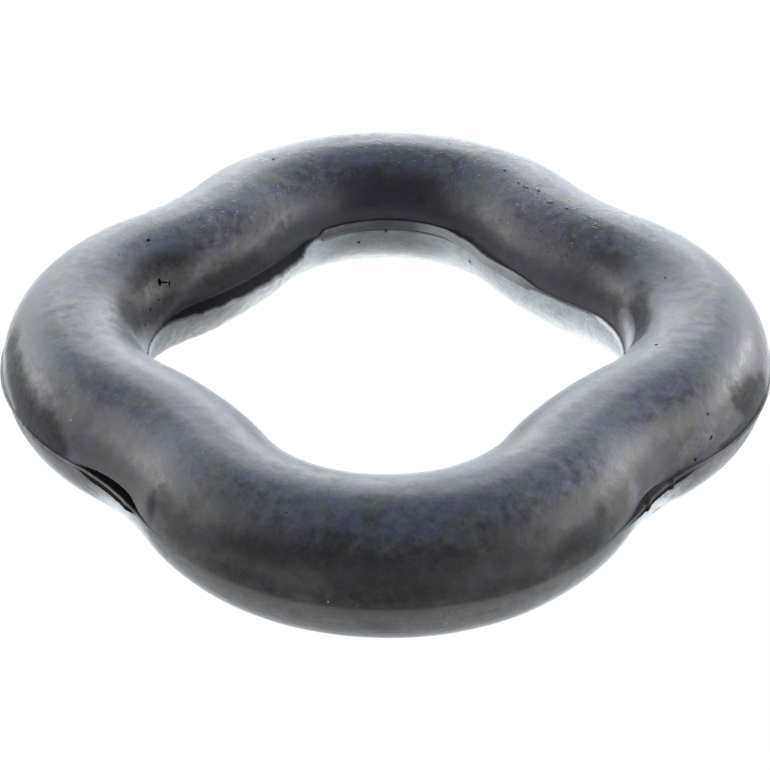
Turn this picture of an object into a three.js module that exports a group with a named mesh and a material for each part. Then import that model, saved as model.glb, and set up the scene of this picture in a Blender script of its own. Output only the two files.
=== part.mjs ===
// Exhaust hanger: one moulded rubber ring that loops over two steel hooks, one on the car and one on
// the exhaust. Seen from above it has four rounded lobes with a shallow waist between each two.
// Millimetres, +Z up. The origin is the centre of the ring, in the plane where the mould halves met.
import * as THREE from "three";

// Driving dimensions of the ring, measured without flash
const sectionDiameter = 14; // round rubber section, the same all the way round
const spanAcross = 75; // over the two lobes on the X axis
const spanAlong = 79.5; // over the two lobes on the Y axis
const lobeBendRadius = 18; // bend of each lobe, at the middle of the section
const waistBendRadius = 31; // bend of each waist, at the middle of the section
const restFlatWidth = 1.6; // narrow flat strip on the top and on the underside

// Driving dimensions of the flash, the thin fin of rubber that was left at the parting plane
const flashRootThickness = 0.7; // where the fin grows out of the round section
const flashEdgeThickness = 0.35; // along its free edge
const outerFlashAtLobes = 0.25; // how far the outer fin stands out round the lobes
const outerFlashAtWaists = 0.7; // the same in the middle of a waist
const outerFlashTaperLength = 22; // length of the stretch of wider outer fin at each waist
const innerFlashAtLobes = 0.35; // how far the inner fin stands into the opening at the lobes
const innerFlashAtWaists = 1.3; // the same in the middle of a waist
const innerFlashTaperLength = 40; // length of the stretch of wider inner fin at each waist

// How finely the surface is divided
const stationSpacing = 2; // between two cross-sections, along the middle of the section
const sectionArcDivisions = 3; // each of the section's four arcs has twice as many straight sides

// Rubber
const rubberColour = 0x3b3c42;
const rubberRoughness = 0.45;

const sectionRadius = sectionDiameter / 2;

// Closed middle line of the ring, seen from above: eight arcs, each tangent to the next. It starts
// below the +X lobe's tip and runs counter-clockwise: lobe, waist, lobe, waist, and the same again.
function middleLine() {
  const lobeCentreX = spanAcross / 2 - sectionRadius - lobeBendRadius;
  const lobeCentreY = spanAlong / 2 - sectionRadius - lobeBendRadius;

  // A waist's arc touches both of its lobes from outside, so its centre is as far from one as the other.
  const centreDistance = lobeBendRadius + waistBendRadius;
  const halfGap = Math.hypot(lobeCentreX, lobeCentreY) / 2;
  const rise = Math.sqrt(centreDistance ** 2 - halfGap ** 2);
  const waistCentreX = lobeCentreX / 2 + (rise * lobeCentreY) / (2 * halfGap);
  const waistCentreY = lobeCentreY / 2 + (rise * lobeCentreX) / (2 * halfGap);

  // Directions from each lobe's centre to the point where the waist takes over
  const leaveX = Math.atan2(waistCentreY, waistCentreX - lobeCentreX);
  const reachY = Math.atan2(waistCentreY - lobeCentreY, waistCentreX);

  const line = new THREE.Path();
  for (const side of [1, -1]) {
    const turn = side > 0 ? 0 : Math.PI;
    line.absarc(side * lobeCentreX, 0, lobeBendRadius, turn - leaveX, turn + leaveX, false);
    line.absarc(
      side * waistCentreX, side * waistCentreY, waistBendRadius,
      turn + Math.PI + leaveX, turn + Math.PI + reachY, true,
    );
    line.absarc(0, side * lobeCentreY, lobeBendRadius, turn + reachY, turn + Math.PI - reachY, false);
    line.absarc(
      -side * waistCentreX, side * waistCentreY, waistBendRadius,
      turn - reachY, turn - leaveX, true,
    );
  }
  return line;
}

// Places along the middle line where a cross-section stands: the point, the level direction that
// points out of the ring, and the distance along the line.
function stationsAlong(arcs) {
  const stations = [];
  let startOfArc = 0;
  for (const arc of arcs) {
    const length = arc.getLength();
    const count = 2 * Math.round(length / stationSpacing / 2);
    const centre = new THREE.Vector2(arc.aX, arc.aY);
    for (let i = 0; i < count; i += 1) {
      const point = arc.getPoint(i / count);
      const outward = point.clone().sub(centre).normalize();
      if (arc.aClockwise) outward.negate();
      stations.push({ point, outward, distance: startOfArc + (length * i) / count });
    }
    startOfArc += length;
  }
  return stations;
}

// Distances along the middle line at which each waist has its middle
function waistMiddles(arcs) {
  const middles = [];
  let startOfArc = 0;
  for (const arc of arcs) {
    const length = arc.getLength();
    if (arc.aClockwise) middles.push(startOfArc + length / 2);
    startOfArc += length;
  }
  return middles;
}

// Reach of the fin at one distance along the line: it swells smoothly towards the middle of a waist.
function flashReach(distance, middles, atLobes, atWaists, taperLength) {
  const away = Math.min(...middles.map((middle) => Math.abs(distance - middle)));
  if (away >= taperLength / 2) return atLobes;
  const swell = Math.cos((Math.PI * away) / taperLength) ** 2;
  return atLobes + (atWaists - atLobes) * swell;
}

// Outline of the cross-section. Its first coordinate is the distance out of the ring from the middle
// line, its second the height. The round part is four arcs: the rest flats part them above and below,
// the outer and the inner fin at half height.
function sectionOutline(outerReach, innerReach) {
  const finAngle = Math.asin(flashRootThickness / sectionDiameter);
  const flatAngle = Math.asin(restFlatWidth / sectionDiameter);
  const quarter = Math.PI / 2;
  const halfEdge = flashEdgeThickness / 2;
  const outline = new THREE.Path();
  outline.absarc(0, 0, sectionRadius, finAngle, quarter - flatAngle, false);
  outline.absarc(0, 0, sectionRadius, quarter + flatAngle, 2 * quarter - finAngle, false);
  outline.lineTo(-sectionRadius - innerReach, halfEdge);
  outline.lineTo(-sectionRadius - innerReach, -halfEdge);
  outline.absarc(0, 0, sectionRadius, 2 * quarter + finAngle, 3 * quarter - flatAngle, false);
  outline.absarc(0, 0, sectionRadius, 3 * quarter + flatAngle, 4 * quarter - finAngle, false);
  outline.lineTo(sectionRadius + outerReach, -halfEdge);
  outline.lineTo(sectionRadius + outerReach, halfEdge);
  return outline.getPoints(sectionArcDivisions);
}

// Joins rings of points into one closed surface. Both the rings and the row of rings run round.
function closedLoft(rings) {
  const perRing = rings[0].length;
  const positions = rings.flatMap((ring) => ring.flatMap((point) => point.toArray()));
  const index = [];
  for (let i = 0; i < rings.length; i += 1) {
    const here = i * perRing;
    const next = ((i + 1) % rings.length) * perRing;
    for (let j = 0; j < perRing; j += 1) {
      const above = (j + 1) % perRing;
      index.push(here + j, next + j, next + above);
      index.push(here + j, next + above, here + above);
    }
  }
  const geometry = new THREE.BufferGeometry();
  geometry.setAttribute("position", new THREE.Float32BufferAttribute(positions, 3));
  geometry.setIndex(index);
  geometry.computeVertexNormals();
  return geometry;
}

// The whole ring with its flash
function hangerRing() {
  const arcs = middleLine().curves.filter((curve) => curve.isEllipseCurve);
  const middles = waistMiddles(arcs);
  const rings = stationsAlong(arcs).map(({ point, outward, distance }) => {
    const outerReach = flashReach(
      distance, middles, outerFlashAtLobes, outerFlashAtWaists, outerFlashTaperLength,
    );
    const innerReach = flashReach(
      distance, middles, innerFlashAtLobes, innerFlashAtWaists, innerFlashTaperLength,
    );
    return sectionOutline(outerReach, innerReach).map(
      (corner) => new THREE.Vector3(
        point.x + outward.x * corner.x,
        point.y + outward.y * corner.x,
        corner.y,
      ),
    );
  });
  const rubber = new THREE.MeshStandardMaterial({
    color: rubberColour,
    roughness: rubberRoughness,
    metalness: 0,
  });
  const ring = new THREE.Mesh(closedLoft(rings), rubber);
  ring.name = "hanger_ring";
  return ring;
}

const exhaustHanger = new THREE.Group();
exhaustHanger.add(hangerRing());

export default exhaustHanger;
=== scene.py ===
"""Exhaust hanger: the dressed model of one moulded rubber ring, with its studio and its camera."""

import logging
import math
from dataclasses import dataclass, field
from enum import Enum

import bpy
from mathutils import Matrix, Vector


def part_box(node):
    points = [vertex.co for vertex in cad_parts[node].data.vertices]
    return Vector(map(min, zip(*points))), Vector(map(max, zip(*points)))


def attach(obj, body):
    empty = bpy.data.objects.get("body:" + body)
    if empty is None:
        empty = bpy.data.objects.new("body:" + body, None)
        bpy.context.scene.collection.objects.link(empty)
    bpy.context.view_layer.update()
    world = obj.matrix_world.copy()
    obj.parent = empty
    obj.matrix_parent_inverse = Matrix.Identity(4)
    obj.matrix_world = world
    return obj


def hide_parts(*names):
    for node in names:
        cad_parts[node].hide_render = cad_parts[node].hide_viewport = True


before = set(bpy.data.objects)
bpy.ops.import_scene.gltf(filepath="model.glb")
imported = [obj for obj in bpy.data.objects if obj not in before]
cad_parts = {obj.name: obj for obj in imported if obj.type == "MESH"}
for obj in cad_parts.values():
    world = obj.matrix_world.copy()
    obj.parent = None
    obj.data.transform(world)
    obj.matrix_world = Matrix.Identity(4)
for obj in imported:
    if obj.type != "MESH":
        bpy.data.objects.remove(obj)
LOG = logging.getLogger("exhaust_hanger")

MM = 0.001
RING_NODE = "hanger_ring"
FLOOR_GAP = 0.02 * MM
Colour = tuple[float, float, float]
Range = tuple[float, float]


class Side(Enum):
    """The edge of the section on which flash grows."""

    OUTER = "outer"
    INNER = "inner"


class MarkKind(Enum):
    """A small fault that moulding leaves in the surface, with the Boolean operation that makes it."""

    PIT = "DIFFERENCE"
    SCAB = "UNION"


class Value:
    """A number socket of a node tree that can be used in a Python expression."""

    def __init__(self, tree: bpy.types.NodeTree, socket: bpy.types.NodeSocket) -> None:
        """Keeps the socket.

        Args:
            tree: The tree that the socket's node is in.
            socket: The output socket whose number this stands for.
        """
        self.tree = tree
        self.socket = socket

    def math(self, operation: str, *others: "Value | float") -> "Value":
        """Adds one Math node that works on this value.

        Args:
            operation: The Math node's operation.
            others: The values of its further sockets.

        Returns:
            The node's result.
        """
        made = self.tree.nodes.new("ShaderNodeMath")
        made.operation = operation
        for socket, value in zip(made.inputs, (self, *others)):
            if isinstance(value, Value):
                self.tree.links.new(value.socket, socket)
            else:
                socket.default_value = value
        return Value(self.tree, made.outputs[0])

    def constant(self, number: float) -> "Value":
        """Adds a Value node to the same tree.

        Args:
            number: The node's number.

        Returns:
            The number as a value of the tree.
        """
        made = self.tree.nodes.new("ShaderNodeValue")
        made.outputs[0].default_value = number
        return Value(self.tree, made.outputs[0])

    def __add__(self, other: "Value | float") -> "Value":
        """Returns self + other."""
        return self.math("ADD", other)

    def __radd__(self, other: float) -> "Value":
        """Returns other + self."""
        return self.math("ADD", other)

    def __sub__(self, other: "Value | float") -> "Value":
        """Returns self - other."""
        return self.math("SUBTRACT", other)

    def __rsub__(self, other: float) -> "Value":
        """Returns other - self."""
        return self.constant(other).math("SUBTRACT", self)

    def __mul__(self, other: "Value | float") -> "Value":
        """Returns self * other."""
        return self.math("MULTIPLY", other)

    def __rmul__(self, other: float) -> "Value":
        """Returns other * self."""
        return self.math("MULTIPLY", other)

    def __truediv__(self, other: "Value | float") -> "Value":
        """Returns self / other."""
        return self.math("DIVIDE", other)

    def __lt__(self, other: "Value | float") -> "Value":
        """Returns 1 where self is less than other, else 0."""
        return self.math("LESS_THAN", other)

    def __gt__(self, other: "Value | float") -> "Value":
        """Returns 1 where self is greater than other, else 0."""
        return self.math("GREATER_THAN", other)

    def smooth(self, low: float, high: float) -> "Value":
        """Rises smoothly from 0 at low to 1 at high.

        Args:
            low: Where the rise starts. It may be above high, which turns the rise into a fall.
            high: Where it ends.

        Returns:
            The risen value.
        """
        made = self.tree.nodes.new("ShaderNodeMapRange")
        made.interpolation_type = "SMOOTHSTEP"
        flipped = low > high
        made.inputs["From Min"].default_value = high if flipped else low
        made.inputs["From Max"].default_value = low if flipped else high
        made.inputs["To Min"].default_value = 1.0 if flipped else 0.0
        made.inputs["To Max"].default_value = 0.0 if flipped else 1.0
        self.tree.links.new(self.socket, made.inputs["Value"])
        return Value(self.tree, made.outputs["Result"])


class TreeMaker:
    """Adds nodes to one node tree."""

    def __init__(self, tree: bpy.types.NodeTree) -> None:
        """Keeps the tree.

        Args:
            tree: The shader or geometry tree that is being built.
        """
        self.tree = tree

    def node(self, kind: str, settings: dict | None = None, sockets: dict | None = None) -> bpy.types.Node:
        """Adds one node of any type.

        Args:
            kind: The node's type name.
            settings: The node's own properties, which are set first.
            sockets: For each input, by name or number, a plain value, a socket or a Value.

        Returns:
            The new node.
        """
        made = self.tree.nodes.new(kind)
        for name, value in (settings or {}).items():
            setattr(made, name, value)
        for key, value in (sockets or {}).items():
            given = value.socket if isinstance(value, Value) else value
            if isinstance(given, bpy.types.NodeSocket):
                self.tree.links.new(given, made.inputs[key])
            else:
                made.inputs[key].default_value = given
        return made

    def value(self, kind: str, output: str | int, settings: dict | None = None,
              sockets: dict | None = None) -> Value:
        """Adds one node and returns one of its outputs as a value.

        Args:
            kind: The node's type name.
            output: The output's name or number.
            settings: As for node.
            sockets: As for node.

        Returns:
            The output as a value.
        """
        return Value(self.tree, self.node(kind, settings, sockets).outputs[output])

    def attribute(self, name: str, data_type: str = "FLOAT") -> bpy.types.NodeSocket:
        """Reads a named attribute in a geometry tree.

        Args:
            name: The attribute's name.
            data_type: Its type.

        Returns:
            The attribute's socket.
        """
        made = self.node("GeometryNodeInputNamedAttribute", {"data_type": data_type}, {"Name": name})
        return made.outputs["Attribute"]

    def vector(self, operation: str, first: object, second: object) -> bpy.types.NodeSocket:
        """Adds one Vector Math node.

        Args:
            operation: The node's operation.
            first: Its first vector.
            second: Its second vector, or the factor where the operation is SCALE.

        Returns:
            The resulting vector's socket.
        """
        key = "Scale" if operation == "SCALE" else 1
        made = self.node("ShaderNodeVectorMath", {"operation": operation}, {0: first, key: second})
        return made.outputs[0]

    def mix(self, factor: object, first: object, second: object) -> bpy.types.NodeSocket:
        """Mixes two colours.

        Args:
            factor: How much of the second colour shows.
            first: The first colour, three numbers or a socket.
            second: The second colour, three numbers or a socket.

        Returns:
            The mixed colour's socket.
        """
        colours = [(*c, 1.0) if isinstance(c, tuple) else c for c in (first, second)]
        sockets = {0: factor, 6: colours[0], 7: colours[1]}
        return self.node("ShaderNodeMix", {"data_type": "RGBA"}, sockets).outputs[2]

    def noise(self, scale: float, detail: float = 2.0, vector: object = None, roughness: float = 0.5,
              offset: tuple[float, float, float] | None = None) -> Value:
        """Adds one noise texture.

        Args:
            scale: Its scale, one over the size of a patch in metres.
            detail: How many finer layers it has.
            vector: The coordinates that it reads.
            roughness: The strength of the finer layers.
            offset: Moves the pattern, so that two textures differ.

        Returns:
            The noise, about 0 to 1.
        """
        if offset is not None:
            vector = self.vector("ADD", vector, offset)
        sockets = {"Scale": scale, "Detail": detail, "Roughness": roughness}
        if vector is not None:
            sockets["Vector"] = vector
        return self.value("ShaderNodeTexNoise", 0, None, sockets)


def new_material(name: str) -> tuple[bpy.types.Material, TreeMaker]:
    """Starts a material with an empty node tree, and returns it with the tree's maker."""
    material = bpy.data.materials.new(name)
    material.use_nodes = True
    material.node_tree.nodes.clear()
    return material, TreeMaker(material.node_tree)


def add_object(name: str, data: bpy.types.ID) -> bpy.types.Object:
    """Adds an object with the given data to the scene."""
    made = bpy.data.objects.new(name, data)
    bpy.context.scene.collection.objects.link(made)
    return made


def outlook(azimuth: float, elevation: float) -> Vector:
    """Returns the direction from the ring's centre to a place in the studio.

    Args:
        azimuth: Degrees round the ring: 0 in front, 90 at the right.
        elevation: Degrees above the floor.

    Returns:
        The direction, one unit long.
    """
    turn, tilt = math.radians(azimuth), math.radians(elevation)
    return Vector((math.sin(turn) * math.cos(tilt), -math.cos(turn) * math.cos(tilt), math.sin(tilt)))


def rise(position: float, start: float, end: float) -> float:
    """Returns a smooth rise from 0 at start to 1 at end.

    Args:
        position: Where it is read.
        start: Where the rise starts.
        end: Where it ends; below start, the rise is a fall.

    Returns:
        A number from 0 to 1.
    """
    share = min(max((position - start) / (end - start), 0.0), 1.0)
    return share * share * (3 - 2 * share)


@dataclass(frozen=True)
class Station:
    """A place on the ring's middle line."""

    point: Vector
    outward: Vector

    @property
    def direction(self) -> float:
        """The plan direction of the place, seen from the ring's centre, in degrees."""
        return math.degrees(math.atan2(self.point.y, self.point.x))


@dataclass(frozen=True)
class SurfacePlace:
    """A point of the round section's surface, with the surface's directions there."""

    point: Vector
    normal: Vector
    along: Vector


@dataclass(frozen=True)
class MiddleLine:
    """The closed middle line of the ring: eight arcs, each tangent to the next."""

    span_across: float
    span_along: float
    section_diameter: float
    lobe_bend_radius: float = 18 * MM
    waist_bend_radius: float = 31 * MM
    spacing: float = 0.32 * MM

    def stations(self) -> list[Station]:
        """Places along the line, counter-clockwise.

        Returns:
            The stations, without the first one repeated at the end.
        """
        places: list[Station] = []
        for centre, radius, start, end in self._arcs():
            steps = round(abs(end - start) * radius / self.spacing)
            side = 1.0 if end > start else -1.0
            for step in range(steps):
                angle = start + (end - start) * step / steps
                ray = Vector((math.cos(angle), math.sin(angle), 0.0))
                places.append(Station(centre + ray * radius, ray * side))
        return places

    def surface_place(self, direction: float, round_angle: float) -> SurfacePlace:
        """Finds a place on the plain round section.

        Args:
            direction: The plan direction, in degrees.
            round_angle: The angle round the section from the outer edge over the top, in degrees.

        Returns:
            The place.
        """
        def apart(station: Station) -> float:
            """Returns how far a station's direction is from the one that is looked for."""
            return abs((station.direction - direction + 180.0) % 360.0 - 180.0)

        at = min(self.stations(), key=apart)
        turn = math.radians(round_angle)
        normal = at.outward * math.cos(turn) + Vector((0, 0, math.sin(turn)))
        along = Vector((-at.outward.y, at.outward.x, 0.0))
        return SurfacePlace(at.point + normal * (self.section_diameter / 2), normal, along)

    def _arcs(self) -> list[tuple[Vector, float, float, float]]:
        """Works out the arcs, in order. A waist's arc runs clockwise.

        Returns:
            Each arc's centre, radius, first and last angle.
        """
        inset = self.section_diameter / 2 + self.lobe_bend_radius
        lobe_x = self.span_across / 2 - inset
        lobe_y = self.span_along / 2 - inset
        half_gap = math.hypot(lobe_x, lobe_y) / 2
        rise_out = math.sqrt((self.lobe_bend_radius + self.waist_bend_radius) ** 2 - half_gap ** 2)
        waist_x = lobe_x / 2 + rise_out * lobe_y / (2 * half_gap)
        waist_y = lobe_y / 2 + rise_out * lobe_x / (2 * half_gap)
        leave_x = math.atan2(waist_y, waist_x - lobe_x)
        reach_y = math.atan2(waist_y - lobe_y, waist_x)
        arcs = []
        for side in (1, -1):
            turn = 0.0 if side > 0 else math.pi
            lobe, waist = self.lobe_bend_radius, self.waist_bend_radius
            arcs += [
                (Vector((side * lobe_x, 0, 0)), lobe, turn - leave_x, turn + leave_x),
                (Vector((side * waist_x, side * waist_y, 0)), waist,
                 turn + math.pi + leave_x, turn + math.pi + reach_y),
                (Vector((0, side * lobe_y, 0)), lobe, turn + reach_y, turn + math.pi - reach_y),
                (Vector((-side * waist_x, side * waist_y, 0)), waist, turn - reach_y, turn - leave_x),
            ]
        return arcs


@dataclass(frozen=True)
class FlashStretch:
    """A stretch of flash along one edge.

    Directions are plan directions in degrees. The reach is how far the flash stands out, top and low
    are its root's heights above and below the parting plane. A tone below 0 is painted shade, black at
    -1 or less; 0 is plain, 1 is pale, partly trimmed rubber and partly a painted highlight on the rims,
    and 2 is white, a painted highlight.
    """

    side: Side
    start: float
    end: float
    reach: float
    top: float
    low: float
    start_taper: float = 6.0
    end_taper: float = 6.0
    rim_tone: float = 0.25
    face_tone: float = 0.0
    top_tone: float = 0.0
    crumple: float = 0.0

    def share(self, direction: float) -> float:
        """Works out how much of this stretch there is in a plan direction.

        Args:
            direction: The direction, in degrees.

        Returns:
            A share from 0 to 1.
        """
        place = direction + 360.0 * round((0.5 * (self.start + self.end) - direction) / 360.0)
        return min(
            rise(place, self.start - self.start_taper, self.start),
            rise(place, self.end + self.end_taper, self.end),
        )


@dataclass(frozen=True)
class TornHollow:
    """A hollow that was torn out of the rubber just above the outer flash."""

    start: float
    deepest: float
    end: float
    depth: float
    height: float

    def share(self, direction: float) -> float:
        """Works out how deep the hollow is in a plan direction.

        Args:
            direction: The direction, in degrees.

        Returns:
            The share of its full depth.
        """
        away = direction + 360.0 * round((self.deepest - direction) / 360.0) - self.deepest
        reach = self.end - self.deepest if away > 0 else self.deepest - self.start
        return math.cos(math.pi / 2 * min(abs(away) / reach, 1.0))


@dataclass(frozen=True)
class SurfaceMark:
    """A pit or a scab of rubber on the surface.

    The place is the plan direction of the middle line, and the angle round the section from the
    outer edge over the top, both in degrees. The size is along the ring, round the section, and deep.
    """

    direction: float
    round_angle: float
    size: tuple[float, float, float]
    turn: float = 0.0


@dataclass(frozen=True)
class StainAndPaintedLight:
    """A darker or paler patch of the surface, placed like a mark. Some are real staining and dust, others
    painted shade and painted light.

    The length and the width are measured from its middle, along the ring and round the section. A
    tone below 0 is dark and one above 0 is pale; above about 0.8 it turns white as well.
    """

    direction: float
    round_angle: float
    length: float
    width: float
    tone: float


@dataclass(frozen=True)
class RubberPoint:
    """What the finish reads at a point of the ring.

    The height is a share of the section's radius. The noises run from about 0 to 1.
    """

    place: bpy.types.NodeSocket
    flow: bpy.types.NodeSocket
    height: Value
    rear: Value
    front: Value
    upper: Value
    lower: Value
    tone: Value
    inner: Value
    stain_and_painted_light: Value
    patches: Value
    tints: Value
    blotch: Value
    grain: Value
    pepper: Value
    streaks: Value


@dataclass(frozen=True)
class RubberFinish:
    """Semi-gloss black moulded rubber, bloomed and with dust on top, painted lighter there as top light,
    with painted shade on the front side and in hollows, and a matte lower half, partly painted paler as
    floor light.

    A range says where a smooth change starts and where it ends. A speck's size is a share of its
    cell, and its rarity is the share of the cells that stay empty.
    """

    side_colour: Colour = (0.049, 0.047, 0.061)
    # Painted shade on the front side
    front_shade_colour: Colour = (0.035, 0.034, 0.037)
    # Painted shade on the inner slope at the rear
    slope_shade_colour: Colour = (0.020, 0.016, 0.028)
    violet: Colour = (0.080, 0.067, 0.108)
    olive: Colour = (0.072, 0.071, 0.062)
    teal: Colour = (0.060, 0.080, 0.094)
    violet_tint: Colour = (1.10, 0.94, 1.17)
    olive_tint: Colour = (1.08, 1.04, 0.86)
    teal_tint: Colour = (0.91, 1.03, 1.07)
    # Bloomed top with dust, painted lighter as top light
    bloom_and_top_light_colour: Colour = (0.102, 0.124, 0.158)
    dark_colour: Colour = (0.015, 0.0155, 0.0185)
    # Dust, and a painted highlight on the front inner rim
    dust_and_light_colour: Colour = (0.19, 0.20, 0.215)
    # The lower half: partly painted paler as floor light; inside, a painted reflection of the floor
    lower_colour: Colour = (0.132, 0.133, 0.137)
    inner_floor_reflection_colour: Colour = (0.40, 0.45, 0.48)
    # White: powdery dust, and painted highlight and painted floor light
    powder_and_light_colour: Colour = (0.88, 0.91, 0.92)
    # Pale trimmed rubber, and painted highlight on the flash's rims
    cut_and_rim_light_colour: Colour = (0.34, 0.35, 0.365)
    # Near black: soot specks, and painted shade in hollows and pits
    soot_and_shade_colour: Colour = (0.006, 0.006, 0.006)
    speck_colour: Colour = (0.52, 0.53, 0.46)
    sheen_tint: Colour = (0.84, 0.94, 1.0)

    roughness: float = 0.42
    specular: float = 0.45
    # Painted shade: hollows and pits are rough and dull, so that they stay black
    shade_roughness: float = 0.9
    shade_specular: float = 0.1
    pit_specular: float = 0.2
    sheen: float = 1.0
    sheen_roughness: float = 0.27
    bump_strength: float = 0.5
    bump_depth: float = 0.06 * MM

    patch_size: float = 8 * MM
    tint_size: float = 8 / 2.6 * MM
    blotch_size: float = 1.1 * MM
    pepper_size: float = 0.42 * MM
    grain_size: float = 0.24 * MM
    warm_hue_size: float = 1.9 * MM
    cold_hue_size: float = 2.3 * MM
    dent_size: float = 1.3 * MM
    speck_spacing: float = 2.2 * MM
    speck_size: float = 0.042
    speck_rarity: float = 0.25
    soot_spacing: float = 1.7 * MM
    soot_size: float = 0.06
    soot_rarity: float = 0.72
    streak_length: float = 3.0 * MM
    streak_width: float = 0.5 * MM
    wrinkle_length: float = 0.9 * MM
    wrinkle_width: float = 0.36 * MM

    far_range: Range = (-8 * MM, 4 * MM)
    front_shade_range: Range = (-14 * MM, -27 * MM)
    back_range: Range = (22 * MM, 34 * MM)
    back_height_range: Range = (0.85, 0.35)
    lower_range: Range = (-0.010, -0.060)
    slope_range: Range = (0.90, 0.50)
    bloom_and_top_light_range: Range = (0.58, 1.0)
    violet_range: Range = (0.50, 0.66)
    olive_range: Range = (0.48, 0.34)
    teal_range: Range = (0.48, 0.66)
    violet_tint_range: Range = (0.50, 0.64)
    olive_tint_range: Range = (0.50, 0.36)
    teal_tint_range: Range = (0.52, 0.66)
    deep_range: Range = (-0.10, -0.75)
    painted_floor_light_range: Range = (-0.45, -0.95)
    dark_range: Range = (0.10, 1.25)
    dust_and_light_range: Range = (0.12, 1.10)
    powder_and_light_range: Range = (0.8, 1.9)
    wrinkle_range: Range = (0.60, 0.74)
    wrinkle_rear_range: Range = (4 * MM, 16 * MM)
    wrinkle_height_range: Range = (0.3, 0.75)

    def material(self, name: str, section_radius: float) -> bpy.types.Material:
        """Builds the rubber's material.

        Args:
            name: The material's name.
            section_radius: The radius of the ring's round section.

        Returns:
            The material.
        """
        material, maker = new_material(name)
        at = self._read(maker, section_radius)
        ragged = (at.blotch - 0.5) * 2.6 + (at.grain - 0.5) * 1.1 + (at.tints - 0.5) * 1.4
        dark = (ragged * 0.42 - at.stain_and_painted_light * 1.5).smooth(*self.dark_range) * (0.40 + at.pepper * 0.85)
        # Pale patches: dust, and painted highlight and painted floor light where the list puts them
        dust_and_light = (at.stain_and_painted_light * 1.5 + ragged * 0.35).smooth(*self.dust_and_light_range)
        colour = self._upper_colour(maker, at, dark, dust_and_light)
        colour = maker.mix(at.lower, colour, self._lower_colour(maker, at, dark, dust_and_light))
        colour = self._speckled(maker, at, self._tinted(maker, at, colour))
        relief = self._relief(maker, at)
        rough = self.roughness + (at.patches - 0.5) * 0.25 + at.lower * 0.22 + (at.blotch - 0.5) * 0.45
        skin = maker.node("ShaderNodeBsdfPrincipled", None, {
            "Base Color": colour,
            "Roughness": rough,
            "Specular IOR Level": self.specular,
            "Sheen Weight": self.sheen,
            "Sheen Roughness": self.sheen_roughness,
            "Sheen Tint": (*self.sheen_tint, 1.0),
            "Normal": relief,
        })
        # Painted shade: a near-black shader with little gloss for the torn hollows, the shaded flash faces
        # and the dark patches
        hollow = maker.node("ShaderNodeBsdfPrincipled", None, {
            "Base Color": (*self.soot_and_shade_colour, 1.0),
            "Roughness": self.shade_roughness,
            "Specular IOR Level": self.shade_specular,
            "Normal": relief,
        })
        # How much painted shade shows: the negative tones, and the dark patches, which lose their gloss too
        black = (at.tone * -1).math("MAXIMUM", dark * (at.upper * 0.32 + 0.30)).math("MINIMUM", 1.0)
        both = maker.node("ShaderNodeMixShader", None, {0: black, 1: skin.outputs[0], 2: hollow.outputs[0]})
        maker.node("ShaderNodeOutputMaterial", None, {"Surface": both.outputs[0]})
        return material

    def _read(self, maker: TreeMaker, section_radius: float) -> RubberPoint:
        """Adds the nodes that read the ring's attributes, its place and the shared noises.

        Args:
            maker: The tree's maker.
            section_radius: The radius of the ring's round section.

        Returns:
            What is read at a point.
        """
        place = maker.node("ShaderNodeTexCoord").outputs["Object"]
        height = maker.value("ShaderNodeSeparateXYZ", "Z", None, {0: place}) / section_radius
        rear = maker.value("ShaderNodeSeparateXYZ", "Y", None, {0: place})
        tone, inner, stain_and_painted_light = (
            maker.value("ShaderNodeAttribute", "Fac", {"attribute_name": label})
            for label in ("tone", "inner", "stain_and_painted_light")
        )
        flow = maker.node("ShaderNodeAttribute", {"attribute_name": "flow"}).outputs["Vector"]
        lower = height.smooth(*self.lower_range)
        along_flow = maker.vector("MULTIPLY", flow, self._per_metre(self.streak_length, self.streak_width))
        return RubberPoint(
            place=place, flow=flow, height=height, rear=rear, front=rear.smooth(*self.front_shade_range),
            upper=1 - lower, lower=lower, tone=tone, inner=inner, stain_and_painted_light=stain_and_painted_light,
            patches=maker.noise(1 / self.patch_size, 3.0, place),
            tints=maker.noise(1 / self.tint_size, 4.0, place, 0.6, (3.0, 7.0, 1.0)),
            blotch=maker.noise(1 / self.blotch_size, 4.0, place, 0.65),
            grain=maker.noise(1 / self.grain_size, 2.0, place, 0.6),
            pepper=maker.noise(1 / self.pepper_size, 2.0, place, 0.6, (1.0, 5.0, 2.0)),
            streaks=maker.noise(1.0, 3.0, along_flow, 0.6),
        )

    def _upper_colour(self, maker: TreeMaker, at: RubberPoint, dark: Value,
                      dust_and_light: Value) -> bpy.types.NodeSocket:
        """Colours the upper half: painted shade on the front side, patches of tint, a bloomed top with dust,
        painted lighter as top light, painted shade and highlight on the inner slope, and the stained
        patches with their painted shade and light.

        Args:
            maker: The tree's maker.
            at: What is read at a point.
            dark: How dark the stained patches are, with their painted shade.
            dust_and_light: How much dust and painted light the pale patches add.

        Returns:
            The colour's socket.
        """
        behind = at.rear.smooth(*self.back_range) * at.height.smooth(*self.back_height_range)
        coloured = 1 - at.front * 0.65 - behind * (1 - at.inner) * 0.55
        # Painted shade: the side that faces the front is darker
        colour = maker.mix(at.front, self.side_colour, self.front_shade_colour)
        colour = maker.mix(at.tints.smooth(*self.violet_range) * coloured, colour, self.violet)
        colour = maker.mix(at.tints.smooth(*self.olive_range) * coloured, colour, self.olive)
        colour = maker.mix(at.patches.smooth(*self.teal_range) * coloured * 0.8, colour, self.teal)
        # Bloomed upper faces with dust, painted lighter towards the top as top light
        bloom_and_top_light = at.height + (at.patches - 0.5) * 0.5 + (at.blotch - 0.5) * 0.35
        colour = maker.mix(bloom_and_top_light.smooth(*self.bloom_and_top_light_range), colour, self.bloom_and_top_light_colour)
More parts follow.
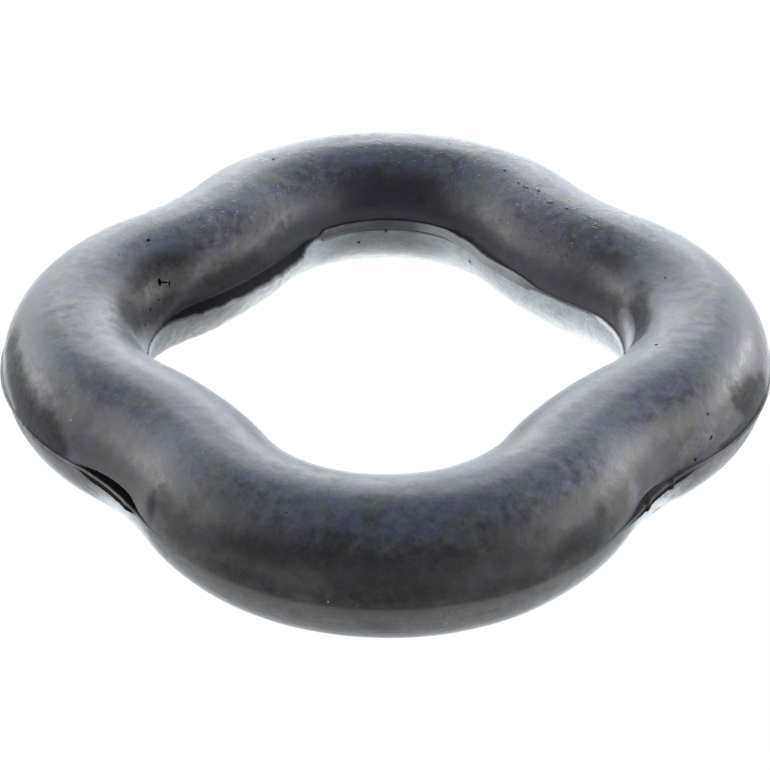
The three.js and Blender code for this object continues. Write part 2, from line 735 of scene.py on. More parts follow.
        # The inner slope: painted shade at the rear, and at the front a painted highlight in the pale dust
        # colour
        slope = at.inner * at.height.smooth(*self.slope_range)
        far = at.rear.smooth(*self.far_range)
        colour = maker.mix(slope * far * 0.60, colour, self.slope_shade_colour)
        colour = maker.mix(slope * (1 - far) * 0.55, colour, self.dust_and_light_colour)
        colour = maker.mix(dark * at.upper, colour, self.dark_colour)
        colour = maker.mix(dust_and_light * at.upper * 0.5, colour, self.dust_and_light_colour)
        # White where a pale patch is strong: painted highlight, as on the right lobe's inner wedge, and
        # painted floor light under the front waists
        powder_and_light = at.stain_and_painted_light.smooth(*self.powder_and_light_range) * at.upper * 0.36
        return maker.mix(powder_and_light, colour, self.powder_and_light_colour)

    def _lower_colour(self, maker: TreeMaker, at: RubberPoint, dark: Value,
                      dust_and_light: Value) -> bpy.types.NodeSocket:
        """Colours the lower half: matte outside, partly painted paler as floor light and more so towards the
        bottom; inside, a pale streaked painted reflection of the floor, whitest towards the bottom.

        Args:
            maker: The tree's maker.
            at: What is read at a point.
            dark: How dark the stained patches are, with their painted shade.
            dust_and_light: How much dust and painted light the pale patches add.

        Returns:
            The colour's socket.
        """
        # Inside: a painted reflection of the white floor, whitest towards the bottom
        deep = (at.height + (at.streaks - 0.5) * 0.5).smooth(*self.deep_range)
        pale = maker.mix(deep, self.inner_floor_reflection_colour, self.powder_and_light_colour)
        pale = maker.vector("SCALE", pale, 0.66 + at.streaks * 0.80)
        # Outside: matte, partly painted paler as floor light and more so towards the bottom, and a little
        # darker at the front as painted shade
        uneven = (0.55 + at.blotch * 0.9) * (0.86 + at.height.smooth(*self.painted_floor_light_range) * 0.8)
        mottled = maker.vector("SCALE", self.lower_colour, uneven * (1 - at.front * 0.12))
        powder_and_light = at.inner.math("MAXIMUM", dust_and_light)
        dull_and_floor_lit = maker.mix(powder_and_light * (0.72 + at.streaks * 0.4), mottled, pale)
        return maker.mix(dark * 0.6, dull_and_floor_lit, self.dark_colour)

    def _tinted(self, maker: TreeMaker, at: RubberPoint,
                colour: bpy.types.NodeSocket) -> bpy.types.NodeSocket:
        """Adds the fine texture and the small changes of hue.

        Args:
            maker: The tree's maker.
            at: What is read at a point.
            colour: The colour so far.

        Returns:
            The new colour's socket.
        """
        fine = at.grain * 0.50 + at.blotch * 0.78 + at.pepper * 0.58
        colour = maker.vector("SCALE", colour, fine)
        tinged = at.upper * 0.85 + 0.15
        warm = maker.noise(1 / self.warm_hue_size, 3.0, at.place, 0.6, (9.0, 2.0, 4.0))
        cold = maker.noise(1 / self.cold_hue_size, 3.0, at.place, 0.6, (2.0, 9.0, 6.0))
        tint = maker.mix(warm.smooth(*self.violet_tint_range) * tinged, (1.0, 1.0, 1.0), self.violet_tint)
        tint = maker.mix(warm.smooth(*self.olive_tint_range) * tinged, tint, self.olive_tint)
        tint = maker.mix(cold.smooth(*self.teal_tint_range) * tinged, tint, self.teal_tint)
        return maker.vector("MULTIPLY", colour, tint)

    def _speckled(self, maker: TreeMaker, at: RubberPoint,
                  colour: bpy.types.NodeSocket) -> bpy.types.NodeSocket:
        """Adds the pale trimmed faces of the flash and its rims, partly painted highlight, the white painted
        highlight on the lip, the pale specks and the black ones.

        Args:
            maker: The tree's maker.
            at: What is read at a point.
            colour: The colour so far.

        Returns:
            The new colour's socket.
        """
        # Pale trimmed faces, and painted highlight on the rims of the flash
        cut_and_rim_light = at.tone.math("MAXIMUM", 0.0) * (0.25 + at.grain * 0.6 + at.streaks * 0.9)
        colour = maker.mix(cut_and_rim_light, colour, self.cut_and_rim_light_colour)
        # Tones above 1 turn white: a painted highlight along the flash's lip
        colour = maker.mix((at.tone - 1).math("MAXIMUM", 0.0), colour, self.powder_and_light_colour)
        speck = self._specks(maker, at.place, self.speck_spacing, self.speck_size, self.speck_rarity)
        colour = maker.mix(speck * 0.8, colour, self.speck_colour)
        soot = self._specks(maker, at.flow, self.soot_spacing, self.soot_size, self.soot_rarity)
        return maker.mix(soot * 0.8, colour, self.soot_and_shade_colour)

    def _relief(self, maker: TreeMaker, at: RubberPoint) -> bpy.types.NodeSocket:
        """Adds the fine relief: grain, shallow dents, and wrinkles on top of the rear lobe.

        Args:
            maker: The tree's maker.
            at: What is read at a point.

        Returns:
            The normal's socket.
        """
        shape = self._per_metre(self.wrinkle_length, self.wrinkle_width)
        wrinkles = maker.noise(1.0, 2.0, maker.vector("MULTIPLY", at.flow, shape), 0.6)
        wrinkles = wrinkles.smooth(*self.wrinkle_range) * at.rear.smooth(*self.wrinkle_rear_range)
        wrinkles = wrinkles * at.height.smooth(*self.wrinkle_height_range)
        dents = maker.noise(1 / self.dent_size, 1.0, at.place, 0.45, (5.0, 1.0, 8.0))
        fine = at.grain * 0.22 + at.pepper * 0.42 + at.lower * at.streaks * 1.2
        relief = maker.node("ShaderNodeBump", None, {
            "Strength": self.bump_strength,
            "Distance": self.bump_depth,
            "Height": fine + dents * 1.3 + wrinkles * 1.1,
        })
        return relief.outputs[0]

    @staticmethod
    def _per_metre(along: float, across: float) -> tuple[float, float, float]:
        """Returns a scale for the flow coordinates, from a streak's length and width."""
        return 1 / along, 1 / along, 1 / across

    @staticmethod
    def _specks(maker: TreeMaker, place: bpy.types.NodeSocket, spacing: float, size: float,
                rarity: float) -> Value:
        """Scatters small specks of uneven size.

        Args:
            maker: The tree's maker.
            place: The coordinates.
            spacing: The cell size.
            size: A speck's largest radius, as a share of the spacing.
            rarity: The share of the cells that stay empty.

        Returns:
            1 on a speck, else 0.
        """
        cells = maker.node("ShaderNodeTexVoronoi", None, {"Vector": place, "Scale": 1 / spacing})
        chosen = maker.value("ShaderNodeSeparateColor", "Red", None, {0: cells.outputs["Color"]})
        grown = ((chosen - rarity) / (1 - rarity)).math("MAXIMUM", 0.0).math("SQRT")
        return Value(maker.tree, cells.outputs["Distance"]) < grown * size

    def pit_material(self, name: str) -> bpy.types.Material:
        """Builds the material of the walls inside a pit, painted near black as shade.

        Args:
            name: The material's name.

        Returns:
            The material.
        """
        material, maker = new_material(name)
        place = maker.node("ShaderNodeTexCoord").outputs["Object"]
        grain = maker.noise(1 / self.grain_size, 2.0, place)
        # Painted shade: the pit's walls are near black
        colour = maker.mix(grain * 0.12, self.soot_and_shade_colour, self.side_colour)
        shader = maker.node("ShaderNodeBsdfPrincipled", None, {
            "Base Color": colour,
            "Roughness": self.shade_roughness,
            "Specular IOR Level": self.pit_specular,
        })
        maker.node("ShaderNodeOutputMaterial", None, {"Surface": shader.outputs[0]})
        return material


def plain_mesh(source: bpy.types.Object, name: str) -> bpy.types.Object:
    """Turns an object with live modifiers into one with a plain mesh, and removes the first.

    Args:
        source: The object whose evaluated shape is kept.
        name: The new object's name.

    Returns:
        The new object.
    """
    evaluated = source.evaluated_get(bpy.context.evaluated_depsgraph_get())
    mesh = bpy.data.meshes.new_from_object(evaluated)
    bpy.data.objects.remove(source)
    mesh.name = name
    return add_object(name, mesh)


def start_tree(name: str, numbers: tuple[str, ...]) -> bpy.types.NodeTree:
    """Starts a Geometry Nodes tree that takes a geometry, some numbers and the rubber's material.

    Args:
        name: The tree's name.
        numbers: The names of its number inputs.

    Returns:
        The tree, with its inputs and its one output.
    """
    tree = bpy.data.node_groups.new(name, "GeometryNodeTree")
    tree.interface.new_socket("Geometry", in_out="INPUT", socket_type="NodeSocketGeometry")
    for label in numbers:
        tree.interface.new_socket(label, in_out="INPUT", socket_type="NodeSocketFloat")
    tree.interface.new_socket("Rubber", in_out="INPUT", socket_type="NodeSocketMaterial")
    tree.interface.new_socket("Geometry", in_out="OUTPUT", socket_type="NodeSocketGeometry")
    return tree


def attach_tree(target: bpy.types.Object, tree: bpy.types.NodeTree, values: dict[str, object]) -> None:
    """Adds a Geometry Nodes modifier and sets its inputs.

    Args:
        target: The object that gets the modifier.
        tree: The modifier's tree.
        values: The value of each named input.
    """
    modifier = target.modifiers.new(tree.name, "NODES")
    modifier.node_group = tree
    for item in tree.interface.items_tree:
        if item.in_out == "INPUT" and item.name in values:
            modifier[item.identifier] = values[item.name]


@dataclass
class SweptRing:
    """The ring's surface: a round section swept along the middle line, with its flash.

    The bead grows where the inner flash's reach is in its range, the groove where a land's top is, and
    a hollow is painted dark as shade where its depth is.
    """

    section_diameter: float
    half_height: float
    line: MiddleLine
    stretches: tuple[FlashStretch, ...]
    hollows: tuple[TornHollow, ...]
    lobe_lip: float = 0.10 * MM
    lip_height: float = 0.12 * MM
    rows: int = 132
    edge_rows: int = 3
    bevel: float = 0.12 * MM
    crowding: float = 0.80
    bead: float = 0.05 * MM
    droop: float = 0.10
    undercut: float = 0.30 * MM
    crumple_size: float = 1.5 * MM
    crumple_depth: float = 1.1 * MM
    droop_start: float = 0.5 * MM
    bead_height: float = 0.22 * MM
    bead_width: float = 0.10 * MM
    bead_reach: Range = (0.5 * MM, 1.0 * MM)
    groove_height: float = 0.42 * MM
    land_top: Range = (0.40 * MM, 0.55 * MM)
    # Painted shade: the hollow depths over which the inside turns dark, and how dark it gets
    torn_shade_depth: Range = (0.05 * MM, 0.75 * MM)
    torn_shade_darkness: float = 0.88
    plain_rim_tone: float = 0.35
    plain_face_tone: float = 0.15
    bulge_size: float = 11 * MM
    unevenness: float = 0.10 * MM
    tear_size: float = 2.0 * MM
    raggedness: float = 0.50
    outer_raggedness: float = 0.4
    seed: float = 4.0

    def build(self, name: str, material: bpy.types.Material) -> bpy.types.Object:
        """Sweeps the section and returns the closed surface.

        Args:
            name: The object's name.
            material: Its material.

        Returns:
            The object, with a plain mesh.
        """
        rail = self._rail(name + "_line")
        attach_tree(rail, self._tree(), {
            "Section Diameter": self.section_diameter,
            "Half Height": self.half_height,
            "Unevenness": self.unevenness,
            "Raggedness": self.raggedness,
            "Seed": self.seed,
            "Rubber": material,
        })
        return plain_mesh(rail, name)

    def _rail(self, name: str) -> bpy.types.Object:
        """Makes the middle line as a loop of edges that carries the size of the flash.

        Args:
            name: The object's name.

        Returns:
            The object.
        """
        stations = self.line.stations()
        count = len(stations)
        mesh = bpy.data.meshes.new(name)
        mesh.from_pydata([s.point for s in stations], [(i, (i + 1) % count) for i in range(count)], [])
        outward = mesh.attributes.new("outward", "FLOAT_VECTOR", "POINT")
        outward.data.foreach_set("vector", [c for s in stations for c in s.outward])
        plain = {
            "reach": self.lobe_lip, "top": self.lip_height, "low": self.lip_height,
            "rim_tone": self.plain_rim_tone, "face_tone": self.plain_face_tone, "top_tone": 0.0,
            "crumple": 0.0,
        }
        for side in Side:
            own = [stretch for stretch in self.stretches if stretch.side is side]
            for size, least in plain.items():
                values = []
                for at in stations:
                    value = least
                    for stretch in own:
                        value += stretch.share(at.direction) * (getattr(stretch, size) - value)
                    values.append(value)
                self._store(mesh, f"{side.value}_{size}", values)
        for size in ("depth", "height"):
            values = [
                max((h.share(at.direction) * getattr(h, size) for h in self.hollows), default=0.0)
                for at in stations
            ]
            self._store(mesh, f"hollow_{size}", values)
        return add_object(name, mesh)

    @staticmethod
    def _store(mesh: bpy.types.Mesh, name: str, values: list[float]) -> None:
        """Stores one number for each point of a mesh.

        Args:
            mesh: The mesh.
            name: The attribute's name.
            values: The numbers.
        """
        mesh.attributes.new(name, "FLOAT", "POINT").data.foreach_set("value", values)

    def _tree(self) -> bpy.types.NodeTree:
        """Builds the Geometry Nodes tree that sweeps the section.

        Returns:
            The tree.
        """
        numbers = ("Section Diameter", "Half Height", "Unevenness", "Raggedness", "Seed")
        tree = start_tree("Swept ring", numbers)
        maker = TreeMaker(tree)
        given = maker.node("NodeGroupInput").outputs

        rail = maker.node("GeometryNodeMeshToCurve", None, {"Mesh": given["Geometry"]})
        rail = self._capture(maker, rail.outputs["Curve"], "VECTOR", "GeometryNodeInputPosition", "Position")
        row = maker.node("GeometryNodeCurvePrimitiveCircle", None, {"Resolution": self.rows})
        row = self._capture(maker, row.outputs["Curve"], "INT", "GeometryNodeInputIndex", "Index")
        swept = maker.node("GeometryNodeCurveToMesh", None, {"Curve": rail[0], "Profile Curve": row[0]})

        position, fields = self._surface(maker, given, rail[1], Value(tree, row[1]))
        turned = maker.node("GeometryNodeFlipFaces", None, {"Mesh": swept.outputs["Mesh"]})
        marked = maker.node("GeometryNodeSetPosition", None, {
            "Geometry": turned.outputs["Mesh"], "Position": position,
        })
        for label, given_field in fields.items():
            kind = "FLOAT_VECTOR" if label == "flow" else "FLOAT"
            marked = maker.node(
                "GeometryNodeStoreNamedAttribute", {"data_type": kind, "domain": "POINT"},
                {"Geometry": marked.outputs[0], "Name": label, "Value": given_field},
            )
        real = maker.node("GeometryNodeRealizeInstances", None, {"Geometry": marked.outputs[0]})
        dressed = maker.node("GeometryNodeSetMaterial", None, {
            "Geometry": real.outputs[0], "Material": given["Rubber"],
        })
        maker.node("NodeGroupOutput", None, {0: dressed.outputs[0]})
        return tree

    @staticmethod
    def _capture(maker: TreeMaker, curve: bpy.types.NodeSocket, data_type: str, source: str,
                 output: str) -> tuple[bpy.types.NodeSocket, bpy.types.NodeSocket]:
        """Captures one field on a curve's points before the sweep.

        Args:
            maker: The tree's maker.
            curve: The curve.
            data_type: The captured item's type.
            source: The type of the node that gives the field.
            output: The name of that node's output.

        Returns:
            The curve and the captured field.
        """
        node = maker.node("GeometryNodeCaptureAttribute", {"domain": "POINT"})
        node.capture_items.new(data_type, output)
        maker.tree.links.new(curve, node.inputs["Geometry"])
        maker.tree.links.new(maker.node(source).outputs[output], node.inputs[output])
        return node.outputs["Geometry"], node.outputs[output]

    def _surface(self, maker: TreeMaker, given: bpy.types.bpy_prop_collection,
                 middle: bpy.types.NodeSocket, row: Value) -> tuple[bpy.types.NodeSocket, dict[str, object]]:
        """Works out where each point of the swept surface lies.

        Args:
            maker: The tree's maker.
            given: The group's inputs.
            middle: The point's place on the middle line.
            row: The point's number round the section.

        Returns:
            The point's position, and the fields that the finish reads.
        """
        def stored(name: str) -> Value:
            """Returns one of the numbers that the middle line carries."""
            return Value(maker.tree, maker.attribute(name))

        outward = maker.attribute("outward", "FLOAT_VECTOR")
        radius = Value(maker.tree, given["Section Diameter"]) * 0.5
        seed = maker.node("ShaderNodeCombineXYZ", None, {0: given["Seed"], 1: given["Seed"]}).outputs[0]

        half = self.rows // 2
        upper = row < half + 0.5
        away = upper * row + (1 - upper) * (self.rows - row)
        side = upper * 2 - 1

        ragged = maker.noise(1 / self.tear_size, 4.0, maker.vector("ADD", middle, seed), 0.65) - 0.5
        ragged = ragged * 2 * Value(maker.tree, given["Raggedness"])
        evenness = {Side.OUTER: self.outer_raggedness, Side.INNER: 1.0}
        reach = {edge: stored(f"{edge.value}_reach") * (1 + ragged * evenness[edge]) for edge in Side}
        root = {
            edge: upper * stored(f"{edge.value}_top") + (1 - upper) * stored(f"{edge.value}_low")
            for edge in Side
        }
        row_in = {Side.OUTER: away, Side.INNER: half - away}
        on_edge = {edge: row_in[edge] < self.edge_rows + 0.5 for edge in Side}
        first = (root[Side.OUTER] / radius).math("ARCSINE")
        last = math.pi - (root[Side.INNER] / radius).math("ARCSINE")
        arc_start, arc_length = self.edge_rows + 1, half - 2 * self.edge_rows - 2
        share = ((away - arc_start) / arc_length).math("MINIMUM", 1.0).math("MAXIMUM", 0.0)
        share = share - (share * (2 * math.pi)).math("SINE") * (self.crowding / (2 * math.pi))
        angle = first + (last - first) * share
        reach_out = radius * angle.math("COSINE")
        height = radius * angle.math("SINE")

        rim = stored("hollow_height")
        hollow = ((height - root[Side.OUTER]) / rim.math("MAXIMUM", 0.01 * MM)).math("MINIMUM", 1.0)
        hollow = (1 - hollow).smooth(0.0, 1.0) * upper * (reach_out > 0)
        # Painted shade: the torn hollow's inside turns dark towards black
        torn = hollow.smooth(0.04, 1.0) * stored("hollow_depth").smooth(*self.torn_shade_depth)
        torn = torn * self.torn_shade_darkness
        above_root = height - root[Side.INNER]
        wide = reach[Side.INNER].smooth(*self.bead_reach)
        round_part = maker.node("ShaderNodeCombineXYZ", None, {2: angle * radius * side}).outputs[0]
        flow = maker.vector("ADD", middle, round_part)
        crumple = (maker.noise(1 / self.crumple_size, 3.0, flow, 0.6) - 0.5) * stored("inner_crumple")
        crumple = crumple * (1 - upper) * (reach_out < 0)
        # Painted shade: a thin dark line along the creases of the crumpled flash
        crease = crumple.math("ABSOLUTE").smooth(0.035, 0.0) * stored("inner_crumple") * (1 - upper)
        bead = ((above_root - self.bead_height) / self.bead_width).math("POWER", 2.0) * -1
        bead = bead.math("EXPONENT") * wide * upper * (reach_out < 0)
        land = stored("inner_top").smooth(*self.land_top)
        groove = (1 - above_root / self.groove_height).math("MAXIMUM", 0.0) * land
        groove = groove * (1 - upper) * (reach_out < 0)
        reach_out = (
            reach_out - stored("hollow_depth") * hollow - bead * self.bead + groove * self.undercut
            + crumple * self.crumple_depth
        )

        # Tone: painted shade in the torn hollows, in the groove under the land and in the creases; the bead
        # a little paler
        tone = bead * 0.10 - torn - groove.smooth(0.0, 0.5) * 0.7 - crease * (reach_out < 0) * 0.3
        for edge, way in ((Side.OUTER, 1), (Side.INNER, -1)):
            on, place = on_edge[edge], row_in[edge]
            shoulder = place > 2.5
            out = reach[edge] - (place > 1.5) * (reach[edge] * 0.4).math("MINIMUM", self.bevel)
            out = radius + out - shoulder * (reach[edge] * 0.5).math("MINIMUM", 2.5 * self.bevel)
            lift = root[edge] * ((place > 0.5) * 0.75 + (place > 1.5) * 0.2)
            sag = (reach[edge] - self.droop_start).math("MAXIMUM", 0.0) * self.droop
            # The flash's own tones: faces and tops in shade are painted dark, rims are pale, partly trimmed
            # rubber and partly painted highlight
            rim_row = (place > 0.5) * upper * (1 - shoulder)
            top_row = upper * shoulder
            edge_tone = rim_row * stored(f"{edge.value}_rim_tone")
            edge_tone = edge_tone + top_row * stored(f"{edge.value}_top_tone")
            edge_tone = edge_tone + (1 - upper * (place > 0.5)) * stored(f"{edge.value}_face_tone")
            reach_out = reach_out + on * (out * way - reach_out)
            height = height + on * (lift - sag * side - height)
            tone = tone + on * (edge_tone - tone)

        rough_place = self._place(maker, middle, outward, reach_out, height * side)
        bulge = maker.noise(1 / self.bulge_size, 2.0, maker.vector("ADD", rough_place, seed))
        swell = 1 + (bulge - 0.5) * 2 * Value(maker.tree, given["Unevenness"]) / radius
        height = (height * swell).math("MINIMUM", Value(maker.tree, given["Half Height"])) * side
        fields = {
            "tone": tone,
            "inner": (reach_out / radius).smooth(0.3, -0.3),
            "flow": flow,
        }
        return self._place(maker, middle, outward, reach_out * swell, height), fields

    @staticmethod
    def _place(maker: TreeMaker, middle: bpy.types.NodeSocket, outward: bpy.types.NodeSocket,
               reach_out: Value, height: Value) -> bpy.types.NodeSocket:
        """Returns the point at a distance out of the middle line and at a height.

        Args:
            maker: The tree's maker.
            middle: The place on the middle line.
            outward: The level direction out of the ring.
            reach_out: The distance along it.
            height: The height.

        Returns:
            The point.
        """
        level = maker.vector("ADD", middle, maker.vector("SCALE", outward, reach_out))
        lift = maker.node("ShaderNodeCombineXYZ", None, {2: height}).outputs[0]
        return maker.vector("ADD", level, lift)


@dataclass
class MarkShapes:
    """Small rough lumps, one for each pit or scab, set on the ring's surface."""

    line: MiddleLine
    roughness: float = 0.35
    bump_size: float = 0.35 * MM
    bump_depth: float = 0.4 * MM
    seed: float = 11.0

    def build(self, name: str, marks: tuple[SurfaceMark, ...],
              material: bpy.types.Material) -> bpy.types.Object:
        """Sets one lump at each mark.

        Args:
            name: The object's name.
            marks: The marks, none of which may overlap another.
            material: The lumps' material.

        Returns:
            The lumps as one object with a plain mesh.
        """
        mesh = bpy.data.meshes.new(name + "_points")
        places, frames = zip(*(self._place(mark) for mark in marks))
        mesh.from_pydata(list(places), [], [])
        sizes = mesh.attributes.new("lump_size", "FLOAT_VECTOR", "POINT")
        sizes.data.foreach_set("vector", [c / 2 for mark in marks for c in mark.size])
        turns = mesh.attributes.new("lump_turn", "FLOAT_VECTOR", "POINT")
        turns.data.foreach_set("vector", [angle for turn in frames for angle in turn])
        points = add_object(name + "_points", mesh)
        attach_tree(points, self._tree(), {
            "Roughness": self.roughness, "Seed": self.seed, "Rubber": material,
        })
        return plain_mesh(points, name)

    def _place(self, mark: SurfaceMark) -> tuple[Vector, tuple[float, float, float]]:
        """Finds a mark's point on the ring and the turn that stands its lump on the surface.

        Args:
            mark: The mark.

        Returns:
            The point, and the turn as three Euler angles.
        """
        at = self.line.surface_place(mark.direction, mark.round_angle)
        standing = Matrix((at.along, at.normal.cross(at.along), at.normal)).transposed()
        return at.point, tuple((standing @ Matrix.Rotation(mark.turn, 3, "Z")).to_euler())

    def _tree(self) -> bpy.types.NodeTree:
        """Builds the Geometry Nodes tree that sets a lump on each point.

        Returns:
            The tree.
        """
        tree = start_tree("Surface marks", ("Roughness", "Seed"))
        maker = TreeMaker(tree)
        given = maker.node("NodeGroupInput").outputs
        lump = maker.node("GeometryNodeMeshIcoSphere", None, {"Radius": 1.0, "Subdivisions": 3})
        size, turn = (maker.attribute(name, "FLOAT_VECTOR") for name in ("lump_size", "lump_turn"))
        turned = maker.node("FunctionNodeEulerToRotation", None, {0: turn})
        lumps = maker.node("GeometryNodeInstanceOnPoints", None, {
            "Points": given["Geometry"], "Instance": lump.outputs["Mesh"],
            "Rotation": turned.outputs[0], "Scale": size,
        })
        real = maker.node("GeometryNodeRealizeInstances", None, {"Geometry": lumps.outputs[0]})
        normal = maker.node("GeometryNodeInputNormal").outputs[0]
        place = maker.node("GeometryNodeInputPosition").outputs[0]
        shift = maker.node("ShaderNodeCombineXYZ", None, {0: given["Seed"]}).outputs[0]
        bump = maker.noise(1 / self.bump_size, 1.0, maker.vector("ADD", place, shift)) - 0.5
        bump = bump * Value(tree, given["Roughness"]) * self.bump_depth
        rough = maker.node("GeometryNodeSetPosition", None, {
            "Geometry": real.outputs[0], "Offset": maker.vector("SCALE", normal, bump),
        })
        dressed = maker.node("GeometryNodeSetMaterial", None, {
            "Geometry": rough.outputs[0], "Material": given["Rubber"],
        })
        maker.node("NodeGroupOutput", None, {0: dressed.outputs[0]})
        return tree


